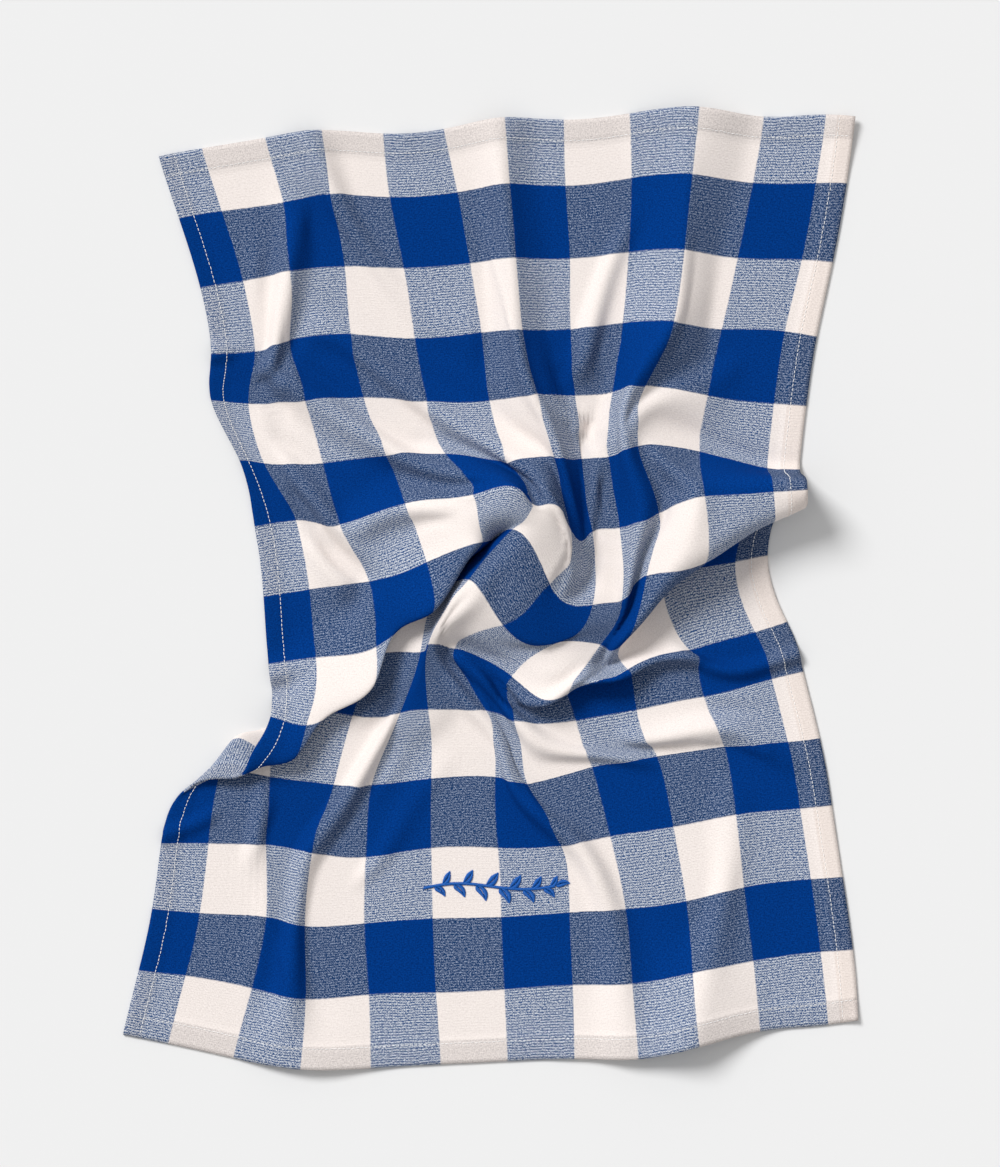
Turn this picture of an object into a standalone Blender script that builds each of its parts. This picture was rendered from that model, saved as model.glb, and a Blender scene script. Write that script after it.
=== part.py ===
"""A gingham tea towel, lying loosely crumpled on a flat surface.

One length of cloth with its hems turned in, so it is one solid. The cloth is laid out by cloth
coordinates, "across" from its left edge and "down" from its top edge. A table says where the lines of
its check lie, a second one where its main folds turn over, and one smooth surface passes through both.
"""

from typing import NamedTuple

import bmesh
import bpy
import numpy as np

MM = 0.001

# The finished cloth, laid flat.
WIDTH = 500
LENGTH = 700
THICKNESS = 1.0

# What the tables leave this close to the surface, the cloth's weight lays flat on it.
LAID_FLAT_UNDER = 2.5

# The mesh: lines of the grid are close together where the cloth is folded, and wide apart elsewhere.
ACROSS_CELLS = 40
DOWN_SPANS = ((0, 208, 11), (208, 424, 21), (424, 532, 16), (532, LENGTH, 9))  # from, to, cells

# The edges of the check along the weft, from the left edge of the cloth to the right edge.
WARP_LINES = (0, 30, 75, 120, 165, 210, 255, 300, 345, 390, 435, 480, WIDTH)

CLOTH_BLUE = (0.030, 0.110, 0.430, 1.0)
CLOTH_ROUGHNESS = 0.9


class Section(NamedTuple):
    """One edge of the check, all the way across the cloth: where each warp line crosses it."""

    down: float
    x: tuple
    y: tuple
    height: tuple


class Fold(NamedTuple):
    """A line along which the cloth turns over. Each place is (across, down, x, y, height)."""

    name: str
    places: tuple


# Millimetres. Height is over a plane that is LAID_FLAT_UNDER below the surface that the towel lies on.
SECTIONS = (
    Section(0,
        x=(-210, -183, -143, -107, -68, -29, 9, 47, 89, 133, 174, 214, 231),
        y=(274, 279, 286, 290, 288, 291, 298, 297, 301, 305, 299, 301, 299),
        height=(2, 2, 3, 7, 2, 5, 10, 2, 6, 13, 3, 6, 8)),
    Section(42.5,
        x=(-197, -170, -131, -101, -64, -20, 12, 48, 90, 128, 167, 207, 227),
        y=(235, 239, 244, 250, 248, 251, 256, 255, 260, 262, 257, 257, 258),
        height=(2, 3, 5, 6, 2, 4, 10, 2, 5, 12, 3, 4, 4)),
    Section(89.5,
        x=(-184, -156, -127, -92, -55, -12, 16, 51, 88, 123, 157, 198, 218),
        y=(191, 195, 201, 204, 203, 206, 209, 209, 213, 214, 209, 208, 207),
        height=(3, 4, 6.5, 3, 3, 5, 11, 3, 5, 12, 3, 3, 3)),
    Section(136.5,
        x=(-177, -149, -127, -88, -48, -5, 20, 51, 84, 116, 147, 187, 208),
        y=(148, 150, 157, 161, 158, 162, 163, 164, 168, 168, 164, 163, 159),
        height=(3, 4, 7, 3, 4, 7, 13, 4, 8, 16, 4, 3, 2)),
    Section(183.5,
        x=(-177, -153, -117, -80, -40, 0, 29, 54, 78, 98, 138, 180, 202),
        y=(119, 117, 119, 121, 118, 119, 122, 122, 124, 128, 122, 117, 116),
        height=(3, 3, 8, 4, 5, 10, 16, 6, 12, 22, 8, 4, 3)),
    Section(230.5,
        x=(-159, -143, -106, -65, -29, 13, 41, 58, 76, 94, 133, 176, 197),
        y=(81, 79, 79, 84, 85, 80, 84, 82, 83, 90, 86, 76, 75),
        height=(4, 4, 8, 7, 10, 18, 20, 10, 19, 29, 14, 12, 12)),
    Section(277.5,
        x=(-149, -123, -95, -53, -9, 26, 51, 65, 82, 107, 135, 179, 202),
        y=(39, 43, 40, 53, 58, 53, 36, 36, 38, 47, 58, 61, 62),
        height=(2, 4, 8, 16, 29, 36, 24, 14, 18, 30, 34, 35, 38)),
    Section(324.5,
        x=(-144, -114, -77, -40, -5, 15, 37, 65, 84, 100, 135, 175, 187),
        y=(-6, -1, 4, 17, 29, 37, 2, -11, -8, 9, 16, 43, 51),
        height=(2, 5, 9, 18, 27, 33, 25, 14, 18, 27, 32, 16, 20)),
    Section(371.5,
        x=(-141, -110, -72, -48, -31, -13, 8, 44, 70, 83, 111, 156, 177),
        y=(-49, -44, -37, -14, -1, 5, -23, -34, -36, -36, 5, 17, 22),
        height=(4, 8, 14, 11, 6, 25, 21, 14, 10, 12, 8, 3, 2)),
    Section(418.5,
        x=(-139, -116, -96, -76, -44, -39, -22, 14, 49, 87, 128, 170, 190),
        y=(-82, -87, -67, -44, -41, -36, -39, -56, -65, -53, -41, -29, -22),
        height=(11, 15, 8.5, 0, 8, 14, 10, 8, 14, 13, 6, 3, 2)),
    Section(465.5,
        x=(-157, -142, -129, -86, -57, -39, -2, 16, 55, 93, 136, 179, 199),
        y=(-118, -105, -79, -81, -79, -77, -79, -84, -85, -79, -69, -58, -53),
        height=(12, 8, 0, 4, 6.5, 7, 3, 5, 2, 3, 5, 3, 2)),
    Section(512.5,
        x=(-195, -172, -140, -99, -75, -37, 3, 24, 65, 106, 149, 189, 210),
        y=(-130, -120, -120, -125, -126, -121, -120, -124, -114, -107, -101, -98, -96),
        height=(4, 2, 2, 4, 5, 3, 3, 5, 2, 3, 4, 4, 2)),
    Section(559.5,
        x=(-209, -178, -142, -113, -79, -37, 5, 46, 76, 117, 156, 197, 217),
        y=(-162, -162, -163, -168, -171, -165, -165, -164, -158, -152, -144, -140, -138),
        height=(2, 2, 3, 4, 3, 3, 2, 5, 5, 3, 6, 3, 2)),
    Section(606.5,
        x=(-215, -184, -142, -117, -80, -36, 7, 51, 86, 125, 161, 204, 224),
        y=(-204, -207, -209, -215, -213, -210, -209, -206, -204, -199, -190, -185, -184),
        height=(2, 2, 5, 3.5, 2, 3, 3, 4, 5, 3, 6, 3, 2)),
    Section(653.5,
        x=(-223, -193, -151, -117, -77, -34, 9, 53, 90, 129, 167, 210, 231),
        y=(-243, -246, -254, -261, -258, -257, -255, -252, -251, -244, -237, -231, -230),
        height=(3, 2, 5, 6, 3, 2, 2, 4, 9, 11, 6, 2, 3)),
    Section(700,
        x=(-233, -204, -163, -120, -76, -31, 11, 54, 94, 132, 171, 215, 233),
        y=(-283, -289, -298, -305, -305, -302, -300, -299, -299, -291, -281, -277, -274),
        height=(4, 3, 4, 10, 6, 3, 3, 6, 13, 20, 8, 3, 6)),
)

FOLDS = (
    Fold("upper crest", (
        (0, 452, -152, -107, 16),
        (30, 440, -123, -107, 16),
        (75, 397, -75, -64, 18.5),
        (120, 357, -37, -16, 23),
        (142, 343, -20, 9, 25),
        (165, 330, -6, 27, 27),
        (190, 306, 6, 42, 33),
    )),
    Fold("lower crest", (
        (30, 487, -161, -95, 9),
        (75, 440, -110, -58, 9),
        (120, 386, -62, -15, 7.5),
    )),
    Fold("groove beside the knob", (
        (187, 324.5, 4, 32, 13),
        (180, 350, -17, 15, 7),
    )),
    Fold("right lip", (
        (500, 287, 201, 56, 35),
        (480, 293, 180, 47, 32),
        (400, 352, 98, -19, 20),
    )),
    Fold("knob", (
        (195, 277, 17, 62, 41),
        (245, 280, 46, 46, 31),
        (240, 305, 46, 27, 29),
    )),
    Fold("centre lip", (
        (275, 360, 32, -34, 18),
    )),
    Fold("lower lip", (
        (334, 427, 37, -73, 15),
        (388, 423, 86, -56, 17),
        (433, 422, 130, -43, 9),
    )),
    Fold("under the lower lip", (
        (340, 441, 42, -66, 5),
        (388, 438, 88, -52, 4),
        (430, 435, 128, -48, 5),
    )),
)


def guides():
    """Every place in both tables, as (across, down) and as (x, y, height)."""
    rows = [
        place
        for section in SECTIONS
        for place in zip(
            WARP_LINES,
            [section.down] * len(WARP_LINES),
            section.x,
            section.y,
            section.height,
        )
    ]
    rows += [place for fold in FOLDS for place in fold.places]
    table = np.array(rows, float)
    return table[:, :2], table[:, 2:]


def smooth_surface(at, through):
    """The smoothest surface through the guides, as a function of (across, down).

    It is a sum of the cubes of the distances to the guides, and of one plane.
    """
    count = len(at)

    def cubes(places):
        apart = np.linalg.norm(places[:, None] - at[None], axis=2) / WIDTH
        return apart**3

    def plane(places):
        return np.column_stack([np.ones(len(places)), places / WIDTH])

    system = np.zeros((count + 3, count + 3))
    system[:count, :count] = cubes(at)
    system[:count, count:] = plane(at)
    system[count:, :count] = plane(at).T
    weights = np.linalg.solve(system, np.vstack([through, np.zeros((3, 3))]))

    def surface(places):
        return cubes(places) @ weights[:count] + plane(places) @ weights[count:]

    return surface


def down_lines():
    """The distances down the cloth at which the grid has a line."""
    spans = [np.linspace(start, end, cells + 1)[:-1] for start, end, cells in DOWN_SPANS]
    return np.concatenate([*spans, [LENGTH]])


def laid_grid():
    """The middle of the cloth's thickness, as rows of points in millimetres."""
    across = np.linspace(0, WIDTH, ACROSS_CELLS + 1)
    down = down_lines()
    places = np.array([(a, d) for d in down for a in across])
    points = smooth_surface(*guides())(places)
    points[:, 2] = np.maximum(points[:, 2] - LAID_FLAT_UNDER, 0) + THICKNESS / 2
    return points.reshape(len(down), len(across), 3)


def sheet_mesh(name, grid):
    """A mesh of one quad between each four neighbours of the grid, facing up where it lies flat."""
    made = bmesh.new()
    rows = [[made.verts.new(point) for point in row] for row in grid]
    for upper, lower in zip(rows, rows[1:]):
        for left in range(len(upper) - 1):
            corners = (lower[left], lower[left + 1], upper[left + 1], upper[left])
            made.faces.new(corners)
    mesh = bpy.data.meshes.new(name)
    made.to_mesh(mesh)
    made.free()
    return mesh


def centre_on_base(towel):
    """Moves the mesh so that the middle of the finished solid's base is at the origin."""
    solid = towel.evaluated_get(bpy.context.evaluated_depsgraph_get()).to_mesh()
    points = np.array([vertex.co for vertex in solid.vertices])
    low, high = points.min(axis=0), points.max(axis=0)
    for vertex in towel.data.vertices:
        vertex.co.x -= (low[0] + high[0]) / 2
        vertex.co.y -= (low[1] + high[1]) / 2


def cloth_material():
    material = bpy.data.materials.new("blue_gingham")
    material.use_nodes = True
    shader = material.node_tree.nodes["Principled BSDF"]
    shader.inputs["Base Color"].default_value = CLOTH_BLUE
    shader.inputs["Roughness"].default_value = CLOTH_ROUGHNESS
    shader.inputs["Metallic"].default_value = 0.0
    return material


def make_towel(collection):
    towel = bpy.data.objects.new("towel", sheet_mesh("towel", laid_grid() * MM))
    collection.objects.link(towel)
    towel.data.materials.append(cloth_material())
    towel.data.shade_smooth()
    solidify = towel.modifiers.new("thickness", "SOLIDIFY")
    solidify.thickness = THICKNESS * MM
    solidify.offset = 0
    centre_on_base(towel)


def main():
    for old in list(bpy.data.objects):
        bpy.data.objects.remove(old, do_unlink=True)
    collection = bpy.data.collections.new("tea_towel")
    bpy.context.scene.collection.children.link(collection)
    make_towel(collection)


main()
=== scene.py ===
"""A blue and white gingham tea towel, lying loosely crumpled on a pale table.

The cloth is worked in its own flat coordinates, in millimetres: "across" from the left edge and "down"
from the top edge. It is laid through the same check lines and folds as the solid in the frame, then
drawn towards its true size, and given its hems, stitches and a small embroidered sprig.
"""

import math
from typing import NamedTuple

import bpy
import numpy as np
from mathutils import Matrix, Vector


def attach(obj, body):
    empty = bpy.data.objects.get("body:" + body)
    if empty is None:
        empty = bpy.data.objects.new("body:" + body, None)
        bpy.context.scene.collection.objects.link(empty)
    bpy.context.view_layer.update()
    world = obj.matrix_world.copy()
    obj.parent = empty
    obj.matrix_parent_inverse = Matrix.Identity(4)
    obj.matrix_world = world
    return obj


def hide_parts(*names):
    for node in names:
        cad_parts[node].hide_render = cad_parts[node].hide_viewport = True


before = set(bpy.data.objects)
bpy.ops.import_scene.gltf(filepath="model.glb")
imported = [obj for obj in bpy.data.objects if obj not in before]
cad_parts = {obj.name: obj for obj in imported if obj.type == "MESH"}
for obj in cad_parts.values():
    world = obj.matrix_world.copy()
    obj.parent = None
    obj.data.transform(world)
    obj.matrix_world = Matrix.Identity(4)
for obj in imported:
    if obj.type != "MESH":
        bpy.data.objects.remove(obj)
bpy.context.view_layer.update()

MM = 0.001

# The towel, laid flat.
WIDTH = 500
LENGTH = 700
CLOTH_THICKNESS = 0.9
LAID_FLAT_UNDER = 2.5

# The edges of the check along the weft, from the left edge of the cloth to the right edge.
WARP_LINES = (0, 30, 75, 120, 165, 210, 255, 300, 345, 390, 435, 480, WIDTH)


class Section(NamedTuple):
    """One edge of the check, all the way across the cloth: where each warp line crosses it."""

    down: float
    x: tuple
    y: tuple
    height: tuple


class Fold(NamedTuple):
    """A line along which the cloth turns over. Each place is (across, down, x, y, height)."""

    name: str
    places: tuple


# Millimetres. Height is over a plane that is LAID_FLAT_UNDER below the surface that the towel lies on.
SECTIONS = (
    Section(0,
        x=(-210, -183, -143, -107, -68, -29, 9, 47, 89, 133, 174, 214, 231),
        y=(274, 279, 286, 290, 288, 291, 298, 297, 301, 305, 299, 301, 299),
        height=(2, 2, 3, 7, 2, 5, 10, 2, 6, 13, 3, 6, 8)),
    Section(42.5,
        x=(-197, -170, -131, -101, -64, -20, 12, 48, 90, 128, 167, 207, 227),
        y=(235, 239, 244, 250, 248, 251, 256, 255, 260, 262, 257, 257, 258),
        height=(2, 3, 5, 6, 2, 4, 10, 2, 5, 12, 3, 4, 4)),
    Section(89.5,
        x=(-184, -156, -127, -92, -55, -12, 16, 51, 88, 123, 157, 198, 218),
        y=(191, 195, 201, 204, 203, 206, 209, 209, 213, 214, 209, 208, 207),
        height=(3, 4, 6.5, 3, 3, 5, 11, 3, 5, 12, 3, 3, 3)),
    Section(136.5,
        x=(-177, -149, -127, -88, -48, -5, 20, 51, 84, 116, 147, 187, 208),
        y=(148, 150, 157, 161, 158, 162, 163, 164, 168, 168, 164, 163, 159),
        height=(3, 4, 7, 3, 4, 7, 13, 4, 8, 16, 4, 3, 2)),
    Section(183.5,
        x=(-177, -153, -117, -80, -40, 0, 29, 54, 78, 98, 138, 180, 202),
        y=(119, 117, 119, 121, 118, 119, 122, 122, 124, 128, 122, 117, 116),
        height=(3, 3, 8, 4, 5, 10, 16, 6, 12, 22, 8, 4, 3)),
    Section(230.5,
        x=(-159, -143, -106, -65, -29, 13, 41, 58, 76, 94, 133, 176, 197),
        y=(81, 79, 79, 84, 85, 80, 84, 82, 83, 90, 86, 76, 75),
        height=(4, 4, 8, 7, 10, 18, 20, 10, 19, 29, 14, 12, 12)),
    Section(277.5,
        x=(-149, -123, -95, -53, -9, 26, 51, 65, 82, 107, 135, 179, 202),
        y=(39, 43, 40, 53, 58, 53, 36, 36, 38, 47, 58, 61, 62),
        height=(2, 4, 8, 16, 29, 36, 24, 14, 18, 30, 34, 35, 38)),
    Section(324.5,
        x=(-144, -114, -77, -40, -5, 15, 37, 65, 84, 100, 135, 175, 187),
        y=(-6, -1, 4, 17, 29, 37, 2, -11, -8, 9, 16, 43, 51),
        height=(2, 5, 9, 18, 27, 33, 25, 14, 18, 27, 32, 16, 20)),
    Section(371.5,
        x=(-141, -110, -72, -48, -31, -13, 8, 44, 70, 83, 111, 156, 177),
        y=(-49, -44, -37, -14, -1, 5, -23, -34, -36, -36, 5, 17, 22),
        height=(4, 8, 14, 11, 6, 25, 21, 14, 10, 12, 8, 3, 2)),
    Section(418.5,
        x=(-139, -116, -96, -76, -44, -39, -22, 14, 49, 87, 128, 170, 190),
        y=(-82, -87, -67, -44, -41, -36, -39, -56, -65, -53, -41, -29, -22),
        height=(11, 15, 8.5, 0, 8, 14, 10, 8, 14, 13, 6, 3, 2)),
    Section(465.5,
        x=(-157, -142, -129, -86, -57, -39, -2, 16, 55, 93, 136, 179, 199),
        y=(-118, -105, -79, -81, -79, -77, -79, -84, -85, -79, -69, -58, -53),
        height=(12, 8, 0, 4, 6.5, 7, 3, 5, 2, 3, 5, 3, 2)),
    Section(512.5,
        x=(-195, -172, -140, -99, -75, -37, 3, 24, 65, 106, 149, 189, 210),
        y=(-130, -120, -120, -125, -126, -121, -120, -124, -114, -107, -101, -98, -96),
        height=(4, 2, 2, 4, 5, 3, 3, 5, 2, 3, 4, 4, 2)),
    Section(559.5,
        x=(-209, -178, -142, -113, -79, -37, 5, 46, 76, 117, 156, 197, 217),
        y=(-162, -162, -163, -168, -171, -165, -165, -164, -158, -152, -144, -140, -138),
        height=(2, 2, 3, 4, 3, 3, 2, 5, 5, 3, 6, 3, 2)),
    Section(606.5,
        x=(-215, -184, -142, -117, -80, -36, 7, 51, 86, 125, 161, 204, 224),
        y=(-204, -207, -209, -215, -213, -210, -209, -206, -204, -199, -190, -185, -184),
        height=(2, 2, 5, 3.5, 2, 3, 3, 4, 5, 3, 6, 3, 2)),
    Section(653.5,
        x=(-223, -193, -151, -117, -77, -34, 9, 53, 90, 129, 167, 210, 231),
        y=(-243, -246, -254, -261, -258, -257, -255, -252, -251, -244, -237, -231, -230),
        height=(3, 2, 5, 6, 3, 2, 2, 4, 9, 11, 6, 2, 3)),
    Section(700,
        x=(-233, -204, -163, -120, -76, -31, 11, 54, 94, 132, 171, 215, 233),
        y=(-283, -289, -298, -305, -305, -302, -300, -299, -299, -291, -281, -277, -274),
        height=(4, 3, 4, 10, 6, 3, 3, 6, 13, 20, 8, 3, 6)),
)

FOLDS = (
    Fold("upper crest", (
        (0, 452, -152, -107, 16),
        (30, 440, -123, -107, 16),
        (75, 397, -75, -64, 18.5),
        (120, 357, -37, -16, 23),
        (142, 343, -20, 9, 25),
        (165, 330, -6, 27, 27),
        (190, 306, 6, 42, 33),
    )),
    Fold("lower crest", (
        (30, 487, -161, -95, 9),
        (75, 440, -110, -58, 9),
        (120, 386, -62, -15, 7.5),
    )),
    Fold("groove beside the knob", (
        (187, 324.5, 4, 32, 13),
        (180, 350, -17, 15, 7),
    )),
    Fold("right lip", (
        (500, 287, 201, 56, 35),
        (480, 293, 180, 47, 32),
        (400, 352, 98, -19, 20),
    )),
    Fold("knob", (
        (195, 277, 17, 62, 41),
        (245, 280, 46, 46, 31),
        (240, 305, 46, 27, 29),
    )),
    Fold("centre lip", (
        (275, 360, 32, -34, 18),
    )),
    Fold("lower lip", (
        (334, 427, 37, -73, 15),
        (388, 423, 86, -56, 17),
        (433, 422, 130, -43, 9),
    )),
    Fold("under the lower lip", (
        (340, 441, 42, -66, 5),
        (388, 438, 88, -52, 4),
        (430, 435, 128, -48, 5),
    )),
)



class Crease(NamedTuple):
    """A sharp line pressed into the cloth, in its flat coordinates: (across, down) along its run."""

    name: str
    height: float  # below zero for a groove
    half_width: float
    run: tuple


CREASES = (
    Crease("long pleat", 2.2, 4.0, ((219, 53), (231, 88), (246, 136), (251, 180), (257, 203), (266, 261))),
    Crease("slanting pleat", 2.4, 3.5, ((165, 189), (205, 220), (226, 253), (244, 282))),
    Crease("middle pleat", 1.8, 3.5, ((296, 180), (296, 231), (300, 280))),
    Crease("short pleat", 1.8, 4.0, ((350, 205), (342, 231), (326, 275))),
    Crease("beside the short pleat", -1.6, 4.0, ((362, 205), (356, 240), (344, 280))),
    Crease("right ridge", 2.0, 5.0, ((384, 0), (389, 42), (389, 89), (390, 136), (386, 183), (389, 231))),
    Crease("beside the right ridge", -1.6, 5.0, ((399, 80), (400, 110), (400, 140), (397, 165))),
    Crease("left ridge", 1.8, 4.0, ((78, 39), (75, 86), (72, 136), (72, 183))),
    Crease("left dimple", -2.4, 8.0, ((14, 168), (36, 178), (62, 190))),
    Crease("crease below the middle", 2.4, 4.0, ((250, 410), (262, 440), (259, 470), (294, 512), (298, 558))),
    Crease("right dimple", 2.0, 4.0, ((418, 500), (434, 507), (448, 515), (468, 521))),
    Crease("under the right dimple", -1.6, 5.0, ((424, 509), (440, 518), (458, 527))),
    Crease("skirt crease", 1.8, 6.0, ((75, 559), (76, 606), (118, 654))),
    Crease("knob crest", 3.0, 4.5, ((120, 272), (144, 275), (167, 278), (195, 278), (208, 284), (239, 281))),
    Crease("over the knob crest", -2.0, 5.0, ((140, 262), (167, 266), (195, 266), (226, 268))),
    Crease("knob edge", 2.6, 4.0, ((232, 280), (239, 294), (246, 312), (255, 330))),
    Crease("beside the knob edge", -2.4, 4.0, ((250, 284), (256, 300), (264, 326))),
    Crease("tent", 2.6, 4.0, ((204, 378), (216, 390), (231, 418))),
    Crease("middle lip", 0.9, 3.5, ((250, 372), (264, 368), (278, 361), (300, 355))),
    Crease("lower lip", 2.4, 4.0, ((256, 415), (275, 422), (311, 428), (330, 436))),
    Crease("under the lower lip", -1.8, 4.5, ((262, 425), (285, 432), (311, 440))),
    Crease("right of the lower lip", 1.6, 4.0, ((330, 436), (345, 419), (389, 421), (433, 424))),
)


class Settling(NamedTuple):
    """One grid that the cloth is settled on. Each is finer and gives more easily than the last."""

    cells_across: int
    cells_down: int
    rounds: int
    bend_stiffness: float
    slack_firmness: float  # how firmly a thread that is too short pushes back, before it buckles


SETTLINGS = (
    Settling(60, 84, 300, 0.08, 1.0),
    Settling(120, 168, 120, 0.11, 0.6),
    Settling(180, 252, 60, 0.11, 0.3),
)

# How much of the way to its guide the cloth is moved in each round, in x, in y and in height.
HOLD_LOOSELY = np.array((0.06, 0.06, 0.012))
HOLD_FIRMLY = np.array((0.5, 0.5, 0.5))
FOLDED_OVER = ("upper crest", "lower crest")
ALSO_HELD = (
    ((187, 325), (182, 350), (182, 400), (192, 440)),  # where the cloth goes under beside the knob
    ((0, 190), (0, 235)),  # the dent in the left edge
    ((288, 362), (312, 360)),  # the middle lip
)
FOLD_REACH = 45
FOLD_FADE = 25
SINK = 0.02
SLANT_FIRMNESS = 0.35
PULLS_IN_A_ROUND = 2
GATHER = 0.45  # how much longer than the guide surface the cloth may be, away from where it is held firmly

# Turned and stitched hems. The stitches are dashes of white thread, a little in from every edge.
SIDE_HEM = 12.0
END_HEM = 15.0
HEM_THICKNESS = 1.7
STITCH_IN_HEM = 1.8  # from the inner edge of the hem out to its stitches
STITCH_PITCH = 2.9
STITCH_LENGTH = 2.5
HEM_THREAD = 0.42
HEM_STEP = 1.5  # over which one layer of cloth becomes three
STITCHES_FROM_CORNER = 1.5
STITCH_WANDER = 0.10
STITCH_SLANT = 0.08
STITCH_SWAY = 0.35
STITCH_SWAY_LENGTH = 60
STITCH_ARCH = (-0.6, 0.4, 0.6, 0.4, -0.6)  # how high a stitch runs over the cloth, in thread widths
THREAD_END = 0.35  # how thin a thread is where it goes into the cloth

# The embroidered sprig, about its own middle: (across, down) in millimetres, across growing to its right.
SPRIG_MIDDLE = (251, 586)
SPRIG_HALF_LENGTH = 47
SPRIG_SWAY = 2.2
STEM_WIDTH = 2.1
SATIN_THREAD = 0.62
SATIN_PITCH = 0.5
SATIN_CROWN = 0.75
SATIN_SLANT = 0.5
SATIN_ARCH = (-0.45, 0.55, 0.9, 1.0, 0.9, 0.55, -0.45)  # how high a satin thread runs, in crowns
LEAF_BOW = 0.10


class Leaf(NamedTuple):
    """One satin-stitched leaf of the sprig, from where it leaves the stem."""

    along: float  # from the middle of the stem
    turn: float  # degrees, from the way the stem grows
    length: float
    width: float


LEAVES = (
    Leaf(-40, 52, 10.2, 4.6),
    Leaf(-35, -50, 10.7, 4.9),
    Leaf(-27, 52, 11.7, 5.4),
    Leaf(-21, -52, 11.7, 5.4),
    Leaf(-12, 54, 12.7, 5.9),
    Leaf(-6, -52, 12.7, 5.9),
    Leaf(3, 52, 12.7, 5.9),
    Leaf(9, -54, 12.2, 5.6),
    Leaf(18, 52, 11.7, 5.4),
    Leaf(23, -50, 11.2, 5.1),
    Leaf(31, 48, 10.2, 4.6),
    Leaf(35, -46, 9.7, 4.4),
    Leaf(39, 2, 10.7, 4.9),
)

SEED = 7

FLAT_MAP = "flat_cloth"

WHITE = (0.895, 0.820, 0.780, 1)
WHITE_IN_SHADE = (0.740, 0.668, 0.632, 1)
BLUE = (0.0008, 0.048, 0.268, 1)
BLUE_IN_SHADE = (0.0004, 0.024, 0.146, 1)
# Mixed squares, from where most of the blue yarn shows to where most of the white does, with painted shade of
# the gaps between the yarns: their darker ends are darker than either yarn.
WHITE_WEFT_OVER_BLUE_AND_SHADE = ((0.006, 0.055, 0.185, 1), (0.655, 0.685, 0.740, 1))
BLUE_WEFT_OVER_WHITE_AND_SHADE = ((0.003, 0.034, 0.120, 1), (0.340, 0.400, 0.540, 1))
EMBROIDERY_BLUE = (0.0030, 0.100, 0.420, 1)
STITCH_WHITE = (0.960, 0.955, 0.945, 1)
END_HEM_TINT = (0.680, 0.680, 0.690, 1)
SIDE_HEM_TINT = (0.965, 0.940, 0.920, 1)

# The check, the weave and the marks that stitches leave in the cloth, in millimetres.
WARP_BANDS_FROM = 30.0
WARP_BAND = 45.0
WEFT_BANDS_FROM = 42.5
WEFT_BAND = 47.0
BAND_BLUR = 0.25
WEAVE_PITCH = 0.85
PUCKER_REACH = 1.8
PUCKER_DEPTH = 2.0

# The light, the table and the view, in metres and degrees unless a comment says otherwise.
SUN_STRENGTH = 2.82
SUN_SPREAD = 24
SUN_ELEVATION = 42
SUN_BEARING = 42
ROOM_STRENGTH = 0.5

CAMERA_HEIGHT = 5.0
CAMERA_SENSOR = 36.0
SEEN_LENGTH = 0.741  # of the table, from the top of the view to its bottom
SEEN_MIDDLE = (6.35, 2.86)  # in the tables' millimetres

TABLE_SIZE = 8
TABLE_GREY = (0.790, 0.790, 0.790, 1)
TABLE_ROUGHNESS = 0.9


# ---------------------------------------------------------------- the lie of the cloth


def guides():
    """Every place in both tables, as (across, down) and as (x, y, height)."""
    rows = [
        place
        for section in SECTIONS
        for place in zip(
            WARP_LINES,
            [section.down] * len(WARP_LINES),
            section.x,
            section.y,
            section.height,
        )
    ]
    rows += [place for fold in FOLDS for place in fold.places]
    table = np.array(rows, float)
    return table[:, :2], table[:, 2:]


def smooth_surface(at, through):
    """The smoothest surface through the guides, as a function of (across, down)."""
    count = len(at)

    def cubes(places):
        apart = np.linalg.norm(places[:, None] - at[None], axis=2) / WIDTH
        return apart**3

    def plane(places):
        return np.column_stack([np.ones(len(places)), places / WIDTH])

    system = np.zeros((count + 3, count + 3))
    system[:count, :count] = cubes(at)
    system[:count, count:] = plane(at)
    system[count:, :count] = plane(at).T
    weights = np.linalg.solve(system, np.vstack([through, np.zeros((3, 3))]))

    def surface(places):
        return cubes(places) @ weights[:count] + plane(places) @ weights[count:]

    return surface


def flat_grid(cells_across, cells_down):
    """The flat coordinates of a grid on the cloth, row by row from its top edge."""
    across = np.linspace(0, WIDTH, cells_across + 1)
    down = np.linspace(0, LENGTH, cells_down + 1)
    return np.stack(np.meshgrid(across, down), axis=-1)


def guided(surface, flat):
    """The guide surface at a grid's points, with what is nearly flat laid on the table."""
    points = surface(flat.reshape(-1, 2)).reshape(*flat.shape[:2], 3)
    points[..., 2] = np.maximum(points[..., 2] - LAID_FLAT_UNDER, 0)
    return points


def pull_to_length(start, end, length, firmness, slack_firmness):
    """Moves both ends of many threads so that each comes nearer to its true length."""
    gap = end - start
    now = np.sqrt((gap**2).sum(axis=-1, keepdims=True))
    excess = 1 - length / np.maximum(now, 1e-6)
    move = gap * (0.5 * excess * np.where(excess > 0, firmness, slack_firmness))
    start += move
    end -= move


def thread_lengths(goal, held, step_across, step_down):
    """The lengths to draw to, of the weft, the warp and both slants: true, or less where it is bunched up."""
    slant = math.hypot(step_across, step_down)
    ends = (
        (step_across, np.s_[:, :-1], np.s_[:, 1:]),
        (step_down, np.s_[:-1], np.s_[1:]),
        (slant, np.s_[:-1, :-1], np.s_[1:, 1:]),
        (slant, np.s_[:-1, 1:], np.s_[1:, :-1]),
    )
    return [
        np.minimum(
            length,
            np.linalg.norm(goal[after] - goal[before], axis=-1, keepdims=True)
            * (1 + GATHER * (1 - held[before])),
        )
        for length, before, after in ends
    ]


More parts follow.
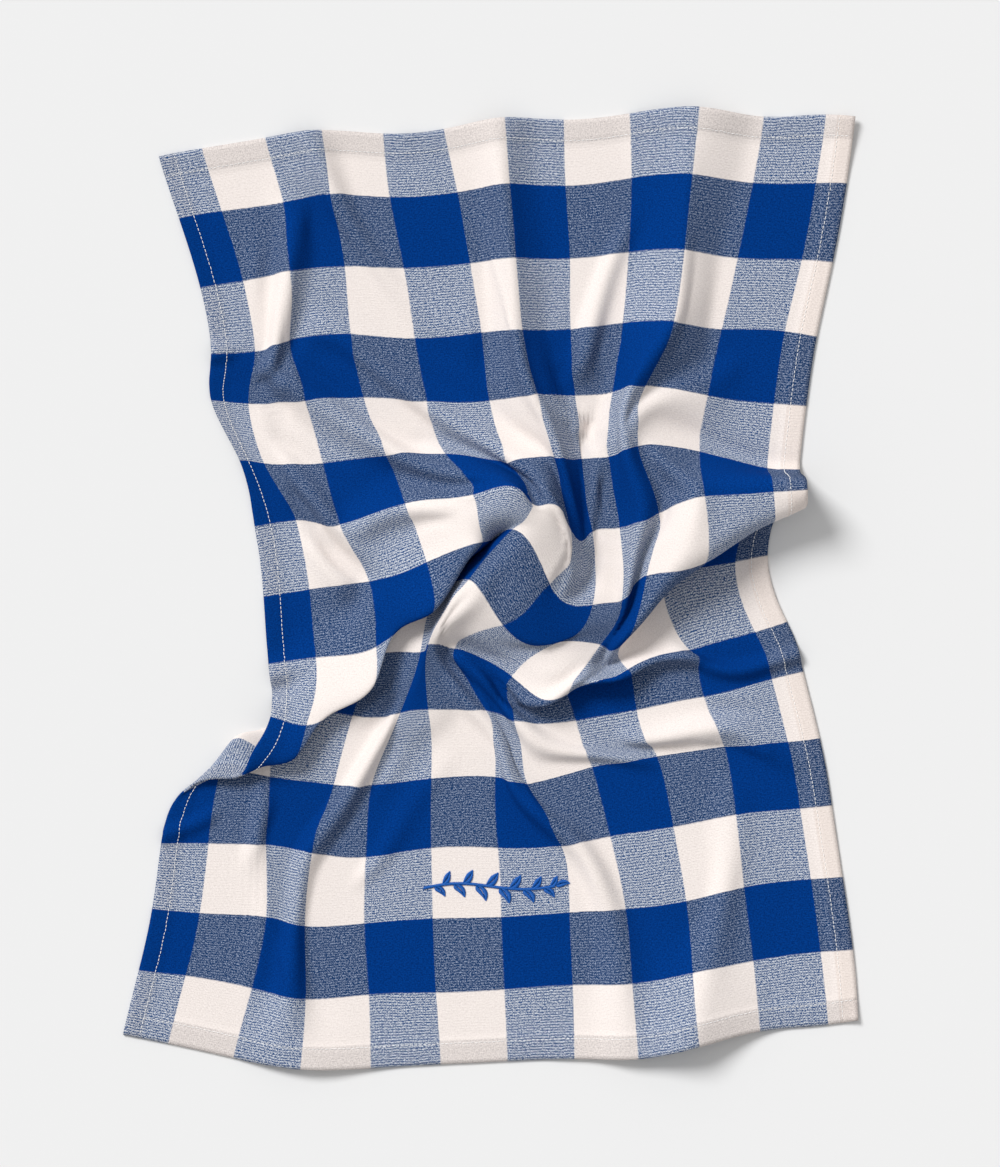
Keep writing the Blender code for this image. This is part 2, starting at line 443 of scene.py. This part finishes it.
def draw_threads_to_length(points, steps, slack):
    """One pass over the weft, the warp and both slants, in groups that share no point."""
    weft, warp, falling, rising = steps
    for first in (0, 1):
        pull_to_length(points[:, first:-1:2], points[:, first + 1 :: 2], weft[:, first::2], 1.0, slack)
        pull_to_length(points[first:-1:2], points[first + 1 :: 2], warp[first::2], 1.0, slack)
    for first in (0, 1):
        upper, lower = points[first:-1:2], points[first + 1 :: 2]
        firmness = SLANT_FIRMNESS, SLANT_FIRMNESS * slack
        pull_to_length(upper[:, :-1], lower[:, 1:], falling[first::2], *firmness)
        pull_to_length(upper[:, 1:], lower[:, :-1], rising[first::2], *firmness)


def ease_bends(points, stiffness):
    """Spreads each sharp bend over its neighbours, as cloth that resists bending does."""
    for start, middle, end in (
        (points[:, :-2], points[:, 1:-1], points[:, 2:]),
        (points[:-2], points[1:-1], points[2:]),
    ):
        bend = stiffness * (start - 2 * middle + end)
        start -= bend
        end -= bend
        middle += 2 * bend


def finer(points, cells_across, cells_down):
    """The same cloth on a finer grid."""

    def along(values, cells):
        old = np.linspace(0, 1, len(values))
        new = np.linspace(0, 1, cells + 1)
        flat = values.reshape(len(values), -1)
        made = np.stack([np.interp(new, old, column) for column in flat.T], axis=1)
        return made.reshape(cells + 1, *values.shape[1:])

    points = along(points, cells_down)
    return along(points.transpose(1, 0, 2), cells_across).transpose(1, 0, 2).copy()


def from_run(flat, run):
    """How far each place on the flat cloth is from a line through the given places, and how far along."""
    nearest = np.full(flat.shape[:2], np.inf)
    along = np.zeros(flat.shape[:2])
    run = np.array(run, float)
    lengths = np.linalg.norm(np.diff(run, axis=0), axis=1)
    for start, end, length, before in zip(run, run[1:], lengths, np.cumsum(lengths) - lengths):
        way = (end - start) / length
        reach = np.clip((flat - start) @ way, 0, length)
        distance = np.linalg.norm(flat - start - reach[..., None] * way, axis=2)
        closer = distance < nearest
        nearest[closer] = distance[closer]
        along[closer] = (before + reach)[closer]
    return nearest, along / lengths.sum()


def hold_near_folds(flat):
    """1 where the cloth is folded over itself, so that its layers stay apart, and 0 elsewhere."""
    folded = [[place[:2] for place in fold.places] for fold in FOLDS if fold.name in FOLDED_OVER]
    near = np.min([from_run(flat, run)[0] for run in [*folded, *ALSO_HELD]], axis=0)
    return np.clip((FOLD_REACH - near) / FOLD_FADE, 0, 1)[..., None]


def settle(surface):
    """Lays the cloth over its guides and draws it towards its true size, flat where it touches."""
    points = None
    for cells_across, cells_down, rounds, bend_stiffness, slack_firmness in SETTLINGS:
        flat = flat_grid(cells_across, cells_down)
        goal = guided(surface, flat)
        if points is None:
            points = goal.copy()
        else:
            points = finer(points, cells_across, cells_down)
        held = hold_near_folds(flat)
        hold = HOLD_LOOSELY + (HOLD_FIRMLY - HOLD_LOOSELY) * held
        steps = thread_lengths(goal, held, WIDTH / cells_across, LENGTH / cells_down)
        for _ in range(rounds):
            points += hold * (goal - points)
            points[..., 2] -= SINK
            ease_bends(points, bend_stiffness)
            for _ in range(PULLS_IN_A_ROUND):
                draw_threads_to_length(points, steps, slack_firmness)
            points[..., 2] = np.maximum(points[..., 2], 0)
    return press_creases(points, flat)


def press_creases(points, flat):
    """Raises each crease to a sharp line, or sinks it, and lets it die away at both ends."""
    normals = np.cross(np.gradient(points, axis=0), np.gradient(points, axis=1))
    normals /= np.linalg.norm(normals, axis=2, keepdims=True)
    for crease in CREASES:
        distance, along = from_run(flat, crease.run)
        profile = np.exp(-distance / crease.half_width) * np.sin(math.pi * np.clip(along, 0, 1)) ** 0.5
        points = points + normals * (crease.height * profile)[..., None]
    points[..., 2] = np.maximum(points[..., 2], 0)
    return points


# ---------------------------------------------------------------- meshes from the laid cloth


class LaidCloth:
    """The settled cloth: gives the place and the directions at any flat coordinates."""

    def __init__(self, points):
        self.points = points
        self.cells_down, self.cells_across = points.shape[0] - 1, points.shape[1] - 1
        self.along_weft = np.gradient(points, axis=1)
        self.along_warp = np.gradient(points, axis=0)
        normals = np.cross(self.along_warp, self.along_weft)
        self.normals = normals / np.linalg.norm(normals, axis=2, keepdims=True)

    def _read(self, grid, across, down):
        a = np.clip(np.asarray(across, float) / WIDTH * self.cells_across, 0, self.cells_across - 1e-6)
        d = np.clip(np.asarray(down, float) / LENGTH * self.cells_down, 0, self.cells_down - 1e-6)
        left, top = a.astype(int), d.astype(int)
        a, d = (a - left)[..., None], (d - top)[..., None]
        upper = grid[top, left] * (1 - a) + grid[top, left + 1] * a
        lower = grid[top + 1, left] * (1 - a) + grid[top + 1, left + 1] * a
        return upper * (1 - d) + lower * d

    def place(self, across, down):
        return self._read(self.points, across, down)

    def normal(self, across, down):
        found = self._read(self.normals, across, down)
        return found / np.linalg.norm(found, axis=-1, keepdims=True)


def past_hem(flat):
    """How far each place on the flat cloth is inside the inner edges of its hems. Below zero in a hem."""
    across, down = flat[..., 0], flat[..., 1]
    beside = np.minimum(across, WIDTH - across) - SIDE_HEM
    return np.minimum(beside, np.minimum(down, LENGTH - down) - END_HEM)


def thickness_at(flat):
    """The cloth's thickness: three layers in the hems."""
    inside = np.clip(past_hem(flat) / HEM_STEP + 0.5, 0, 1)
    return HEM_THICKNESS + (CLOTH_THICKNESS - HEM_THICKNESS) * inside


def linked(obj):
    bpy.context.scene.collection.objects.link(obj)
    return obj


def cloth_object(laid, material):
    """The towel as one thin sheet, with its flat coordinates as its UV map, in metres."""
    rows, columns = laid.points.shape[:2]
    flat = flat_grid(columns - 1, rows - 1)
    thickness = thickness_at(flat)
    middle = laid.points.copy()
    middle[..., 2] += thickness / 2
    index = np.arange(rows * columns).reshape(rows, columns)
    quads = np.stack(
        [index[1:, :-1], index[1:, 1:], index[:-1, 1:], index[:-1, :-1]], axis=-1
    ).reshape(-1, 4)
    mesh = bpy.data.meshes.new("towel_cloth")
    mesh.from_pydata((middle.reshape(-1, 3) * MM).tolist(), [], quads.tolist())
    flat_map = mesh.uv_layers.new(name=FLAT_MAP)
    flat_map.data.foreach_set("uv", (flat.reshape(-1, 2)[quads.ravel()] * MM).ravel())
    mesh.shade_smooth()
    mesh.materials.append(material)
    towel = linked(bpy.data.objects.new("towel_cloth", mesh))
    fullness = towel.vertex_groups.new(name="fullness")
    shares = (thickness / HEM_THICKNESS).ravel()
    for share in np.unique(shares.round(3)):
        fullness.add(np.flatnonzero(abs(shares - share) < 6e-4).tolist(), float(share), "REPLACE")
    solidify = towel.modifiers.new("thickness", "SOLIDIFY")
    solidify.thickness = HEM_THICKNESS * MM
    solidify.offset = 0
    solidify.vertex_group = fullness.name
    return towel


def threads_object(name, runs, radius, material, sides=6):
    """Many short threads as one mesh. runs holds each thread's points in order, in metres."""
    towards = np.gradient(runs, axis=1)
    towards /= np.linalg.norm(towards, axis=2, keepdims=True)
    sideways = np.cross(towards, (0.0, 0.0, 1.0))
    sideways /= np.maximum(np.linalg.norm(sideways, axis=2, keepdims=True), 1e-9)
    upwards = np.cross(sideways, towards)
    threads, points = runs.shape[:2]
    thin = np.full(points, 1.0)
    thin[[0, -1]] = THREAD_END
    turns = np.arange(sides) * 2 * math.pi / sides
    rings = runs[:, :, None] + radius * thin[:, None, None] * (
        np.cos(turns)[:, None] * sideways[:, :, None] + np.sin(turns)[:, None] * upwards[:, :, None]
    )
    index = np.arange(threads * points * sides).reshape(threads, points, sides)
    after = np.roll(index, -1, axis=2)
    quads = np.stack([index[:, :-1], index[:, 1:], after[:, 1:], after[:, :-1]], axis=-1).reshape(-1, 4)
    ends = np.concatenate([index[:, 0], index[:, -1, ::-1]])
    mesh = bpy.data.meshes.new(name)
    mesh.from_pydata(rings.reshape(-1, 3).tolist(), [], quads.tolist() + ends.tolist())
    mesh.shade_smooth()
    mesh.materials.append(material)
    return linked(bpy.data.objects.new(name, mesh))


def threads_over(laid, starts, ends, lifts):
    """Threads that run straight over the cloth from start to end, raised over its face by the lifts."""
    share = np.linspace(0, 1, lifts.shape[1])[None, :, None]
    flat = starts[:, None] * (1 - share) + ends[:, None] * share
    across, down = flat[..., 0], flat[..., 1]
    face = thickness_at(flat)[..., None]
    lifted = laid.place(across, down) + laid.normal(across, down) * (face / 2 + lifts[..., None])
    lifted[..., 2] += face[..., 0] / 2
    return lifted * MM


def hem_stitches(laid, material):
    """A row of straight stitches in from each of the four edges, each end going down into the cloth."""
    rng = np.random.default_rng(SEED)
    left, top = SIDE_HEM - STITCH_IN_HEM, END_HEM - STITCH_IN_HEM
    rows = (
        ((left, 0), (left, LENGTH)),
        ((WIDTH - left, 0), (WIDTH - left, LENGTH)),
        ((0, top), (WIDTH, top)),
        ((0, LENGTH - top), (WIDTH, LENGTH - top)),
    )
    starts, ends = [], []
    for number, row in enumerate(rows):
        begin, finish = np.array(row, float)
        length = np.linalg.norm(finish - begin)
        way = (finish - begin) / length
        beside = np.array((-way[1], way[0]))
        last = length - STITCH_LENGTH - STITCHES_FROM_CORNER
        first = np.arange(STITCHES_FROM_CORNER, last, STITCH_PITCH)[:, None]
        sway = STITCH_SWAY * np.sin(first / STITCH_SWAY_LENGTH + number)
        wander = rng.normal(0, STITCH_WANDER, first.shape) + sway
        starts.append(begin + way * first + beside * wander)
        slant = rng.normal(0, STITCH_SLANT, first.shape)
        ends.append(starts[-1] + way * STITCH_LENGTH + beside * slant)
    lifts = HEM_THREAD * np.array([STITCH_ARCH])
    runs = threads_over(laid, np.concatenate(starts), np.concatenate(ends), lifts)
    return threads_object("hem_stitches", runs, HEM_THREAD / 2 * MM, material)


def satin_band(line, left, right):
    """Where the satin threads along a line start and end, each slanting across the line."""
    steps = np.linalg.norm(np.diff(line, axis=0), axis=1)
    before = np.concatenate([[0], np.cumsum(steps)])
    places = np.arange(SATIN_PITCH / 2, before[-1], SATIN_PITCH)
    middle = np.stack([np.interp(places, before, line[:, axis]) for axis in (0, 1)], axis=1)
    way = np.gradient(middle, axis=0)
    way /= np.linalg.norm(way, axis=1, keepdims=True)
    beside = np.stack([-way[:, 1], way[:, 0]], axis=1)
    share = (places / before[-1])[:, None]
    starts = middle + beside * left(share) - way * left(share) * SATIN_SLANT
    ends = middle - beside * right(share) + way * right(share) * SATIN_SLANT
    return starts, ends


def sprig_threads():
    """Start, end and crown of every satin thread of the sprig: a swaying stem and its leaves."""

    def stem(along):
        return np.stack([along, SPRIG_SWAY * np.sin(along / SPRIG_HALF_LENGTH * math.pi)], axis=-1)

    def slope(along):
        return math.atan2(stem(along + 0.5)[1] - stem(along - 0.5)[1], 1.0)

    def stem_half(share):
        return np.full_like(share, STEM_WIDTH / 2)

    stem_line = stem(np.linspace(-SPRIG_HALF_LENGTH, LEAVES[-1].along, 90))
    bands = [satin_band(stem_line, stem_half, stem_half)]
    for leaf in LEAVES:
        angle = slope(leaf.along) + math.radians(leaf.turn)
        reach = np.linspace(0.8, leaf.length, 24)[:, None]
        bow = LEAF_BOW * leaf.length * math.copysign(1, leaf.turn)
        bow = bow * np.sin(math.pi * reach / leaf.length)
        way = np.array((math.cos(angle), math.sin(angle)))
        rib = stem(np.array(leaf.along)) + way * reach + np.array((way[1], -way[0])) * bow

        def half(share, width=leaf.width):
            return width / 2 * np.sin(math.pi * np.clip(share, 0.02, 0.98) ** 0.75) + 0.12

        bands.append(satin_band(rib, half, np.zeros_like))
        bands.append(satin_band(rib, np.zeros_like, half))
    return np.concatenate([band[0] for band in bands]), np.concatenate([band[1] for band in bands])


def sprig(laid, material):
    """The embroidered sprig: threads side by side over a low padding, so that each stroke stands up."""
    starts, ends = sprig_threads()
    middle = np.array(SPRIG_MIDDLE, float)
    length = np.linalg.norm(ends - starts, axis=1)[:, None]
    crown = SATIN_CROWN * np.clip(length / 2.0, 0.5, 1.15)
    lifts = crown * np.array([SATIN_ARCH])
    runs = threads_over(laid, middle + starts, middle + ends, lifts)
    return threads_object("embroidered_sprig", runs, SATIN_THREAD / 2 * MM, material, sides=5)


# ---------------------------------------------------------------- materials


class Nodes:
    """A short way to write a node tree."""

    def __init__(self, tree):
        self.tree = tree

    def add(self, kind, **values):
        node = self.tree.nodes.new(kind)
        for name, value in values.items():
            setattr(node, name, value)
        return node

    def feed(self, socket, value):
        if isinstance(value, bpy.types.NodeSocket):
            self.tree.links.new(value, socket)
        elif value is not None:
            socket.default_value = value

    def math(self, operation, first, second=None, third=None):
        node = self.add("ShaderNodeMath", operation=operation)
        for socket, value in zip(node.inputs, (first, second, third)):
            self.feed(socket, value)
        return node.outputs[0]

    def mix(self, share, first, second, blend="MIX"):
        node = self.add("ShaderNodeMix", data_type="RGBA", blend_type=blend)
        self.feed(node.inputs["Factor"], share)
        self.feed(node.inputs["A"], first)
        self.feed(node.inputs["B"], second)
        return node.outputs["Result"]

    def ramp(self, value, low, high, to_low=0.0, to_high=1.0):
        node = self.add("ShaderNodeMapRange")
        for name, number in (("Value", value), ("From Min", low), ("From Max", high)):
            self.feed(node.inputs[name], number)
        self.feed(node.inputs["To Min"], to_low)
        self.feed(node.inputs["To Max"], to_high)
        return node.outputs[0]

    def vector(self, x, y, z=0.0):
        node = self.add("ShaderNodeCombineXYZ")
        for socket, value in zip(node.inputs, (x, y, z)):
            self.feed(socket, value)
        return node.outputs[0]

    def noise(self, vector, scale=1.0, detail=2.0, roughness=0.5):
        node = self.add("ShaderNodeTexNoise")
        self.feed(node.inputs["Vector"], vector)
        self.feed(node.inputs["Scale"], scale)
        self.feed(node.inputs["Detail"], detail)
        self.feed(node.inputs["Roughness"], roughness)
        return node.outputs["Fac"]

    def group(self, tree, **values):
        node = self.add("ShaderNodeGroup", node_tree=tree)
        for name, value in values.items():
            self.feed(node.inputs[name.replace("_", " ")], value)
        return node.outputs


def group_tree(name, inputs, outputs):
    """An empty shader node group with float sockets, and its inner ends."""
    tree = bpy.data.node_groups.new(name, "ShaderNodeTree")
    for socket, default in inputs:
        made = tree.interface.new_socket(socket, in_out="INPUT", socket_type="NodeSocketFloat")
        made.default_value = default
    for socket in outputs:
        tree.interface.new_socket(socket, in_out="OUTPUT", socket_type="NodeSocketFloat")
    nodes = Nodes(tree)
    return tree, nodes, nodes.add("NodeGroupInput").outputs, nodes.add("NodeGroupOutput").inputs


def uneven_yarn():
    """How much darker or lighter one yarn is than its neighbours, and along itself. From -1 to 1."""
    tree, nodes, given, result = group_tree(
        "uneven yarn",
        (("Along", 0), ("Beside", 0), ("Slub Length", 8), ("Yarn Width", 0.8)),
        ("Shade",),
    )
    along = nodes.math("DIVIDE", given["Along"], given["Slub Length"])
    beside = nodes.math("DIVIDE", given["Beside"], given["Yarn Width"])
    streak = nodes.noise(nodes.vector(along, beside), detail=3.0, roughness=0.6)
    nodes.feed(result["Shade"], nodes.ramp(streak, 0.3, 0.7, -1.0, 1.0))
    return tree


def plain_weave():
    """A ribbed plain weave: how far the weft is on top of the warp, about zero, and the face's height."""
    tree, nodes, given, result = group_tree(
        "plain weave",
        (("Across", 0), ("Down", 0), ("Pitch", WEAVE_PITCH)),
        ("Weft On Top", "Height"),
    )
    wander = nodes.noise(nodes.vector(given["Across"], given["Down"]), 0.05, 2.0)
    shift = nodes.math("MULTIPLY", wander, 3.0)
    turns = []
    for place in (given["Across"], given["Down"]):
        yarns = nodes.math("DIVIDE", nodes.math("ADD", place, shift), given["Pitch"])
        turns.append(nodes.math("MULTIPLY", yarns, math.pi))
    ribs = nodes.math("SINE", turns[1])
    over = nodes.math("MULTIPLY", nodes.math("SINE", turns[0]), ribs)
    nodes.feed(
        result["Weft On Top"],
        nodes.math("MULTIPLY_ADD", over, 0.30, nodes.math("MULTIPLY", ribs, 0.32)),
    )
    low_ribs = nodes.math("MULTIPLY", ribs, 0.12)
    nodes.feed(result["Height"], nodes.math("MULTIPLY_ADD", nodes.math("ABSOLUTE", over), 0.7, low_ribs))
    return tree


def check_bands():
    """Where the warp and the weft are blue, 0 or 1, at a place on the flat cloth in millimetres."""
    tree, nodes, given, result = group_tree(
        "check bands",
        (("Across", 0), ("Down", 0), ("Wander", 0)),
        ("Blue Warp", "Blue Weft"),
    )

    def second_half(place, first, band):
        shifted = nodes.math("ADD", place, given["Wander"])
        turn = nodes.math("FRACT", nodes.math("DIVIDE", nodes.math("SUBTRACT", shifted, first), 2 * band))
        edge = BAND_BLUR / band
        rise, fall = nodes.ramp(turn, 0.5 - edge, 0.5 + edge), nodes.ramp(turn, 1 - edge, 1.0)
        return nodes.math("SUBTRACT", rise, fall)

    nodes.feed(result["Blue Warp"], second_half(given["Across"], WARP_BANDS_FROM, WARP_BAND))
    white_weft = second_half(given["Down"], WEFT_BANDS_FROM, WEFT_BAND)
    nodes.feed(result["Blue Weft"], nodes.math("SUBTRACT", 1.0, white_weft))
    return tree


def gingham(yarn, weave, bands):
    """Plain-woven yarn-dyed cotton, its blue yarn showing more than its white in the mixed squares, which
    also carry painted shade.
    """
    material = bpy.data.materials.new("gingham_cotton")
    material.use_nodes = True
    nodes = Nodes(material.node_tree)
    shader = material.node_tree.nodes["Principled BSDF"]
    flat = nodes.add("ShaderNodeUVMap", uv_map=FLAT_MAP)
    places = nodes.add("ShaderNodeSeparateXYZ")
    nodes.feed(places.inputs[0], flat.outputs[0])
    across = nodes.math("MULTIPLY", places.outputs[0], 1000.0)
    down = nodes.math("MULTIPLY", places.outputs[1], 1000.0)
    wander = nodes.ramp(nodes.noise(nodes.vector(across, down), 0.35, 2.0), 0.0, 1.0, -0.35, 0.35)
    check = nodes.group(bands, Across=across, Down=down, Wander=wander)
    weft = nodes.group(yarn, Along=across, Beside=down, Slub_Length=2.0, Yarn_Width=0.65)["Shade"]
    warp = nodes.group(yarn, Along=down, Beside=across, Slub_Length=1.1, Yarn_Width=0.7)["Shade"]
    woven = nodes.group(weave, Across=across, Down=down, Pitch=WEAVE_PITCH)
    specks = nodes.math("MULTIPLY_ADD", weft, 0.42, nodes.math("MULTIPLY", warp, 0.58))
    face = nodes.math("MULTIPLY_ADD", woven["Weft On Top"], 0.75, specks)
    # The mixed squares' colours are partly painted shade: their dark ends are darker than either yarn.
    light_mixed_and_shade = nodes.mix(nodes.ramp(face, -0.32, 0.46), *WHITE_WEFT_OVER_BLUE_AND_SHADE)
    in_dark = nodes.math("MULTIPLY_ADD", woven["Weft On Top"], 0.45, specks)
    dark_mixed_and_shade = nodes.mix(nodes.ramp(in_dark, -0.14, 0.64), *BLUE_WEFT_OVER_WHITE_AND_SHADE)
    white_shade = nodes.mix(nodes.ramp(specks, -0.8, 0.3), WHITE_IN_SHADE, WHITE)
    blue_shade = nodes.mix(nodes.ramp(specks, -0.45, 0.45), BLUE_IN_SHADE, BLUE)
    white_weft = nodes.mix(check["Blue Warp"], white_shade, light_mixed_and_shade)
    blue_weft = nodes.mix(check["Blue Warp"], dark_mixed_and_shade, blue_shade)
    colour = nodes.mix(check["Blue Weft"], white_weft, blue_weft)

    # A hem is three layers deep, and the layers underneath show through in specks.
    end_hem = in_hem(nodes, down, LENGTH, END_HEM)
    side_hem = in_hem(nodes, across, WIDTH, SIDE_HEM)
    dulled = nodes.math("MULTIPLY", end_hem, nodes.ramp(specks, -0.7, 0.5, 1.0, 0.25))
    dulled = nodes.math("MULTIPLY", dulled, nodes.ramp(check["Blue Warp"], 0.0, 1.0, 1.0, 0.3))
    colour = nodes.mix(dulled, colour, END_HEM_TINT, blend="MULTIPLY")
    colour = nodes.mix(side_hem, colour, SIDE_HEM_TINT, blend="MULTIPLY")
    nodes.feed(shader.inputs["Base Color"], colour)
    shader.inputs["Roughness"].default_value = 0.9
    shader.inputs["Specular IOR Level"].default_value = 0.02

    pucker = nodes.math(
        "MAXIMUM",
        stitch_line(nodes, across, WIDTH, SIDE_HEM, down),
        stitch_line(nodes, down, LENGTH, END_HEM, across),
    )
    height = nodes.math("MULTIPLY_ADD", weft, 0.35, woven["Height"])
    height = nodes.math("SUBTRACT", height, nodes.math("MULTIPLY", pucker, PUCKER_DEPTH))
    bump = nodes.add("ShaderNodeBump")
    bump.inputs["Distance"].default_value = 0.00025
    bump.inputs["Strength"].default_value = 0.6
    nodes.feed(bump.inputs["Height"], height)
    nodes.feed(shader.inputs["Normal"], bump.outputs[0])
    return material


def from_end(nodes, place, size):
    """How far a place is from the nearer of the two edges."""
    return nodes.math("MINIMUM", place, nodes.math("SUBTRACT", size, place))


def in_hem(nodes, place, size, hem):
    """1 in the hems at both ends of one direction, and 0 between them."""
    return nodes.ramp(from_end(nodes, place, size), hem - 0.5, hem + 0.5, 1.0, 0.0)


def stitch_line(nodes, place, size, hem, along):
    """Where the stitches of two hems draw the cloth in: 1 on their rows, in short dips along them."""
    apart = nodes.math("SUBTRACT", from_end(nodes, place, size), hem - STITCH_IN_HEM)
    beside = nodes.ramp(nodes.math("ABSOLUTE", apart), 0.0, PUCKER_REACH, 1.0, 0.0)
    dips = nodes.math("COSINE", nodes.math("MULTIPLY", along, 2 * math.pi / STITCH_PITCH))
    return nodes.math("MULTIPLY", beside, nodes.ramp(dips, -1.0, 1.0, 0.45, 1.0))


def thread_material(name, colour, roughness, specular):
    """Twisted thread, a little uneven in colour."""
    material = plain(name, colour, roughness)
    nodes = Nodes(material.node_tree)
    shader = material.node_tree.nodes["Principled BSDF"]
    place = nodes.add("ShaderNodeTexCoord").outputs["Object"]
    uneven = nodes.ramp(nodes.noise(place, 900.0, 2.0), 0.3, 0.7, 0.85, 1.1)
    strength = nodes.add("ShaderNodeHueSaturation")
    nodes.feed(strength.inputs["Value"], uneven)
    strength.inputs["Color"].default_value = colour
    nodes.feed(shader.inputs["Base Color"], strength.outputs[0])
    shader.inputs["Specular IOR Level"].default_value = specular
    return material


def plain(name, colour, roughness):
    material = bpy.data.materials.new(name)
    material.use_nodes = True
    shader = material.node_tree.nodes["Principled BSDF"]
    shader.inputs["Base Color"].default_value = colour
    shader.inputs["Roughness"].default_value = roughness
    return material


# ---------------------------------------------------------------- table, light and camera


def set_table():
    bpy.ops.mesh.primitive_plane_add(size=TABLE_SIZE, location=(0, 0, 0))
    table = bpy.context.object
    table.name = "table_top"
    table.data.materials.append(plain("pale_table", TABLE_GREY, TABLE_ROUGHNESS))


def set_light():
    """One broad soft light from the upper left, and a pale room all round."""
    data = bpy.data.lights.new("window", "SUN")
    data.energy = SUN_STRENGTH
    data.angle = math.radians(SUN_SPREAD)
    sun = linked(bpy.data.objects.new("window", data))
    elevation, bearing = math.radians(SUN_ELEVATION), math.radians(SUN_BEARING)
    towards = Vector(
        (
            -math.sin(bearing) * math.cos(elevation),
            math.cos(bearing) * math.cos(elevation),
            math.sin(elevation),
        )
    )
    sun.rotation_mode = "QUATERNION"
    sun.rotation_quaternion = towards.to_track_quat("Z", "Y")
    world = bpy.data.worlds.new("pale_room")
    world.use_nodes = True
    world.node_tree.nodes["Background"].inputs["Color"].default_value = (1, 1, 1, 1)
    world.node_tree.nodes["Background"].inputs["Strength"].default_value = ROOM_STRENGTH
    bpy.context.scene.world = world
    bpy.context.scene.view_settings.view_transform = "Standard"


def set_camera(shift):
    """Straight above the towel, and far enough away that its folds don't lean outwards."""
    data = bpy.data.cameras.new("camera")
    data.sensor_width = CAMERA_SENSOR
    data.lens = CAMERA_SENSOR * CAMERA_HEIGHT / SEEN_LENGTH
    data.clip_end = 20
    camera = linked(bpy.data.objects.new("camera", data))
    middle = Vector((SEEN_MIDDLE[0] * MM, SEEN_MIDDLE[1] * MM, CAMERA_HEIGHT))
    camera.location = middle + shift
    bpy.context.scene.camera = camera


def main():
    laid_points = settle(smooth_surface(*guides()))
    low, high = laid_points.min(axis=(0, 1)), laid_points.max(axis=(0, 1))
    shift = -(low + high) / 2
    shift[2] = 0
    laid_points = laid_points + shift
    laid = LaidCloth(laid_points)
    towel = cloth_object(laid, gingham(uneven_yarn(), plain_weave(), check_bands()))
    stitches = hem_stitches(laid, thread_material("hem_thread", STITCH_WHITE, 0.7, 0.2))
    sprig_piece = sprig(laid, thread_material("satin_thread", EMBROIDERY_BLUE, 0.45, 0.35))
    for piece in (towel, stitches, sprig_piece):
        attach(piece, "root")
    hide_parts("towel")
    set_table()
    set_light()
    set_camera(Vector(shift) * MM)


main()
